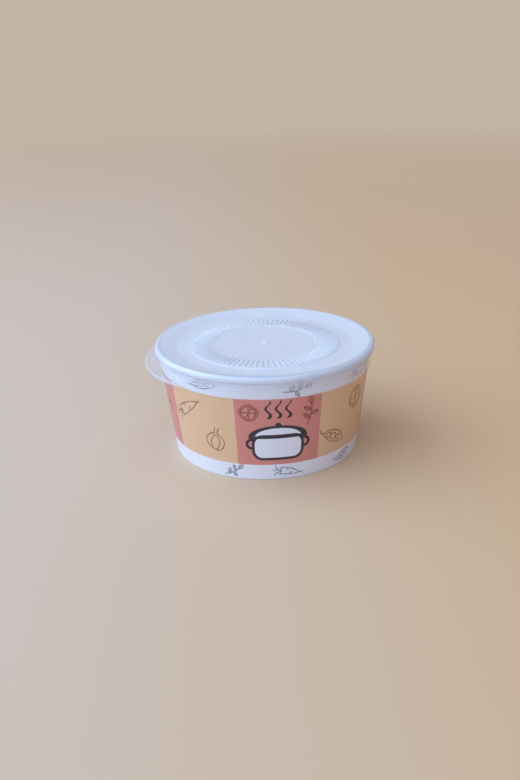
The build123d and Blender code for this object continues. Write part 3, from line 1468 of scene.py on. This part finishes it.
    def inner_side(self) -> list[Corner]:
        """The under and inner side of the section, back from the skirt's lower edge to the axis.

        Returns:
            Its corners.
        """
        disc = self.ring_height - self.disc_drop - self.wall
        ring = self.ring_height - self.wall
        panel = self.panel_height - self.wall
        crest = self.crest_height - self.wall
        channel = self.outer_radius - self.wall
        shelf = self.shelf_height
        shift = self.shoulder_shift
        return [
            Corner(self.skirt_radius(self.skirt_bottom) - self.wall, self.skirt_bottom),
            Corner(self.skirt_radius(shelf) - self.wall, shelf, self.step_inner_rounding),
            Corner(channel, shelf, self.step_inner_rounding),
            Corner(channel, crest, self.crest_outer_share * self.crest_width - self.wall),
            Corner(self.crest_inside + shift, crest, self.crest_inner_share * self.crest_width - self.wall),
            Corner(self.shoulder_radius + shift, panel, self.shoulder_foot_rounding + self.wall),
            Corner(self.ring_radius, panel, self.level_rounding),
            Corner(self.ring_radius - self.level_change, ring, self.level_rounding),
            Corner(self.disc_radius + self.level_change, ring, self.level_rounding),
            Corner(self.disc_radius, disc, self.level_rounding),
            Corner(0.0, disc),
        ]

    def tab(self) -> Tab:
        """The thumb tab on the lip."""
        return Tab(self.lip_radius, self.lip_radius - self.joining_overlap, self.skirt_bottom)

    def build(self) -> bpy.types.Object:
        """Makes the lid with its ribs and tab in one, and dresses it.

        Returns:
            The finished piece.
        """
        shell = Bench.turned("lid_shell", self.outer_side() + self.inner_side())
        ribs = Ribs(
            start=self.disc_radius + self.level_change + self.rib_inner_margin,
            end=self.ring_radius - self.level_change - self.rib_outer_margin,
            floor=self.ring_height,
            sink=self.joining_overlap,
        )
        Bench.combine(shell, ribs.build(), "UNION")
        Bench.combine(shell, self.tab().build(), "UNION")
        Bench.dress(shell, self.finish.material(self), Body.LID, Slot.LID)
        return shell


def bearing(azimuth: float, elevation: float) -> Vector:
    """Points from the bowl to the camera or a light.

    Args:
        azimuth: the angle round the axis.
        elevation: the angle above the floor.

    Returns:
        The direction, with a length of one.
    """
    around, up = math.radians(azimuth), math.radians(elevation)
    return Vector((math.cos(around) * math.cos(up), math.sin(around) * math.cos(up), math.sin(up)))


@dataclass(frozen=True)
class Viewpoint:
    """The camera, set by the photograph's viewing angle."""

    distance: float = 463.9
    azimuth: float = 295.0
    elevation: float = 22.05
    target_height: float = 27.6
    pan: float = 0.357
    tilt: float = -0.032
    roll: float = -1.336
    lens: float = 41.775
    sensor: float = 36.0

    def build(self) -> bpy.types.Object:
        """Sets up the camera.

        Returns:
            The camera.
        """
        back = bearing(self.azimuth, self.elevation)
        Bench.put_down()
        bpy.ops.object.camera_add()
        camera = bpy.context.object
        aim = (-back).to_track_quat("-Z", "Y").to_matrix()
        aim = aim @ Matrix.Rotation(math.radians(self.pan), 3, "Y")
        aim = aim @ Matrix.Rotation(math.radians(self.tilt), 3, "X")
        aim = aim @ Matrix.Rotation(math.radians(self.roll), 3, "Z")
        place = (Vector((0.0, 0.0, self.target_height)) + back * self.distance) * MM
        camera.matrix_world = Matrix.Translation(place) @ aim.to_4x4()
        camera.data.lens = self.lens
        camera.data.sensor_width = self.sensor
        camera.data.clip_start = self.target_height * MM
        bpy.context.scene.camera = camera
        return camera


@dataclass(frozen=True)
class Softbox:
    """A square studio light that faces the bowl."""

    name: str
    azimuth: float
    elevation: float
    distance: float
    width: float
    power: float
    colour: Colour

    def build(self) -> bpy.types.Object:
        """Hangs the light.

        Returns:
            The light.
        """
        back = bearing(self.azimuth, self.elevation)
        Bench.put_down()
        bpy.ops.object.light_add(type="AREA", location=back * self.distance * MM)
        lamp = bpy.context.object
        lamp.name = self.name
        lamp.rotation_euler = (-back).to_track_quat("-Z", "Y").to_euler()
        lamp.data.size = self.width * MM
        lamp.data.energy = self.power
        lamp.data.color = self.colour
        return lamp


@dataclass(frozen=True)
class Studio:
    """Plain soft light: a large cool key from the left, cool fills and dim warm light from all round."""

    lights: tuple[Softbox, ...] = (
        Softbox("key_light", 208.0, 33.0, 1700.0, 2400.0, 44.0, (0.65, 0.84, 1.0)),
        Softbox("front_light", 285.0, 24.0, 3400.0, 3600.0, 62.0, (0.54, 0.79, 1.0)),
        Softbox("top_light", 25.0, 86.0, 1700.0, 1500.0, 9.0, (0.50, 0.75, 1.0)),
    )
    ambient: Colour = (0.36, 0.24, 0.185)
    backdrop: Colour = (0.545, 0.455, 0.375)

    def build(self) -> None:
        """Sets up the lights, the world, the floor and the plain view transform."""
        for light in self.lights:
            light.build()
        world = bpy.data.worlds.new("soft_room")
        bpy.context.scene.world = world
        graph = Graph(world)
        colour = graph.mix(graph.seen(), self.ambient, self.backdrop)
        around = graph.node("ShaderNodeBackground", {}, {"Color": colour})
        graph.node("ShaderNodeOutputWorld", {}, {"Surface": around.outputs[0]})
        PaleFloor(self.backdrop).build()
        bpy.context.scene.view_settings.view_transform = "Standard"


def main() -> None:
    """Builds the pieces, the stage, the light and the camera."""
    logging.basicConfig(level=logging.INFO, format="%(name)s %(message)s")
    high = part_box(Body.BOWL.value)[1] / MM
    bowl = Bowl(height=high.z, bead_radius=high.x)
    bowl.build()
    Lid(bowl).build()
    Studio().build()
    Viewpoint().build()


if __name__ == "__main__":
    main()
